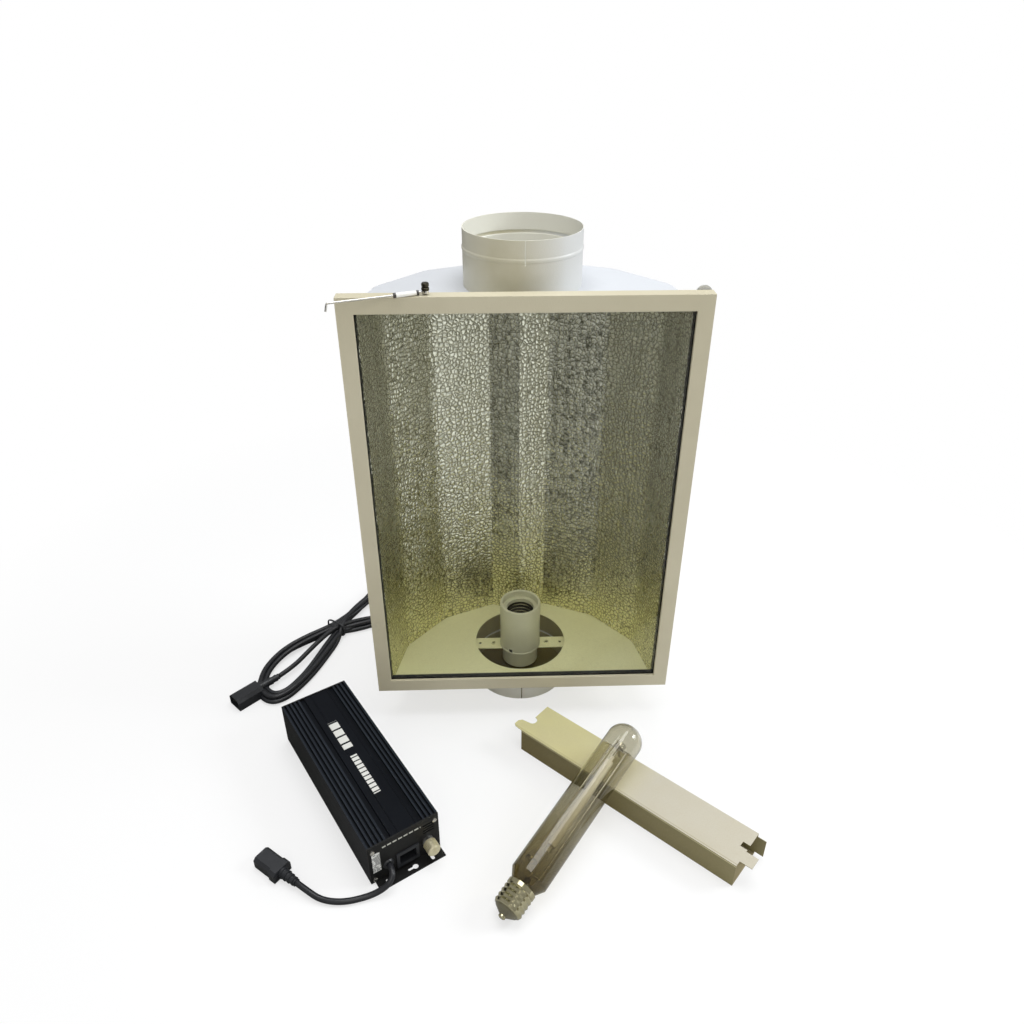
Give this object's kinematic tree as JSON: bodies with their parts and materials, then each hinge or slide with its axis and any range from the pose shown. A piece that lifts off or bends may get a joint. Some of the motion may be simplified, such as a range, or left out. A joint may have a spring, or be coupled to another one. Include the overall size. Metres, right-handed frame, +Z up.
{
  "type": "grow lamp",
  "caption": "air-cooled grow lamp hood standing on its duct collar, with hinged glass door, finned ballast, tubular lamp and card sleeve",
  "frame": {"origin": "centre of the lower duct collar's rim, on the floor", "axes": "+Z up the duct's axis, -Y out of the glass door, +X to the right of someone facing the glass"},
  "size_m": [0.7686, 0.741, 0.7205],
  "materials": {
    "powder_coat_cream": "satin cream powder coat",
    "hammered_aluminium": "hammered bright aluminium sheet",
    "zinc_steel": "zinc plated steel",
    "bright_screw": "nickel plated",
    "foam_seal": "closed cell black foam",
    "silicone_seal": "black silicone",
    "tempered_glass": "clear tempered glass",
    "grip_tube": "white sleeve with dark ends",
    "porcelain": "glazed white porcelain",
    "socket_nickel": "nickel plated brass",
    "black_moulding": "black moulded plastic",
    "black_cord": "black flexible cord sheath",
    "anodised_black": "black anodised aluminium extrusion",
    "plate_black": "black powder coat",
    "plate_print": "printed foil label",
    "board_green": "circuit board",
    "knob_metal": "turned metal knob",
    "lamp_glass": "clear hard glass",
    "arc_ceramic": "translucent alumina",
    "lamp_cap_metal": "nickel plated brass cap",
    "cap_insulator": "black vitrite glass",
    "frame_wire": "bright nickel wire",
    "card": "coated card"
  },
  "bodies": {
    "hood": {"housing_shell": "powder_coat_cream", "lower_end_panel": "powder_coat_cream", "upper_end_panel": "powder_coat_cream", "blind_rivets": "zinc_steel", "hanging_lugs": "zinc_steel", "lower_collar": "powder_coat_cream", "upper_collar": "powder_coat_cream", "reflector_left": "hammered_aluminium", "reflector_right": "hammered_aluminium", "reflector_spine": "hammered_aluminium", "front_frame": "powder_coat_cream", "door_seal": "foam_seal", "corner_lug": "powder_coat_cream", "housing_hinge_leaves": "zinc_steel", "hinge_pins": "zinc_steel", "lampholder_strap": "powder_coat_cream", "lampholder_body": "porcelain", "socket_contacts": "socket_nickel", "lampholder_base": "porcelain", "lampholder_screws": "bright_screw", "cable_gland": "black_moulding", "hood_lead": "black_cord", "lead_hank": "black_cord", "hank_tie": "black_moulding", "lead_plug": "black_moulding", "lead_plug_pins": "bright_screw"},
    "door": {"door_rail_bottom": "powder_coat_cream", "door_rail_top": "powder_coat_cream", "door_rail_left": "powder_coat_cream", "door_rail_right": "powder_coat_cream", "door_glass": "tempered_glass", "glazing_seal": "silicone_seal", "door_hinge_leaves": "zinc_steel"},
    "latch": {"latch_wire": "bright_screw", "latch_grip": "grip_tube"},
    "latch_stud": {"latch_screw": "bright_screw"},
    "ballast": {"ballast_case": "anodised_black", "ballast_mounting_plate": "plate_black", "ballast_front_plate": "plate_black", "ballast_rear_plate": "plate_black", "end_plate_screws": "bright_screw", "ballast_circuit_board": "board_green", "mains_inlet": "black_moulding", "output_grommet": "black_moulding", "rating_plate": "plate_print", "dimmer_control": "zinc_steel", "output_lead": "black_cord", "output_connector": "black_moulding"},
    "dimmer": {"dimmer_shaft": "knob_metal", "dimmer_knob": "knob_metal"},
    "sleeve": {"card_sleeve": "card"},
    "lamp": {"lamp_cap": "lamp_cap_metal", "lamp_insulator": "cap_insulator", "lamp_contact": "lamp_cap_metal", "lamp_envelope": "lamp_glass", "lamp_stem": "lamp_glass", "arc_tube": "arc_ceramic", "lamp_frame": "frame_wire", "lamp_getter": "frame_wire"}
  },
  "joints": [
    {"name": "door_hinge", "type": "hinge", "parent": "hood", "child": "door", "pos_m": [0, -0.088, 0.0543], "axis": [1, 0, 0], "range_deg": [0, 60]},
    {"name": "latch_swing", "type": "hinge", "parent": "door", "child": "latch", "pos_m": [-0.116, -0.1, 0.67], "axis": [0, 0, 1], "range_deg": [-25, 100]},
    {"name": "latch_screw_turn", "type": "hinge", "parent": "door", "child": "latch_stud", "pos_m": [-0.116, -0.1, 0.67], "axis": [0, 0, 1], "continuous": true},
    {"name": "ballast_lift", "type": "slide", "parent": "hood", "child": "ballast", "axis": [0, 0, 1], "range_m": [0, 0.3]},
    {"name": "dimmer_turn", "type": "hinge", "parent": "ballast", "child": "dimmer", "pos_m": [-0.12921, -0.36341, 0.029], "axis": [0.5299, -0.848, 0], "range_deg": [0, 270]},
    {"name": "sleeve_lift", "type": "slide", "parent": "hood", "child": "sleeve", "axis": [0, 0, 1], "range_m": [0, 0.3]},
    {"name": "lamp_lift", "type": "slide", "parent": "sleeve", "child": "lamp", "axis": [0, 0, 1], "range_m": [0, 0.3]}
  ]
}
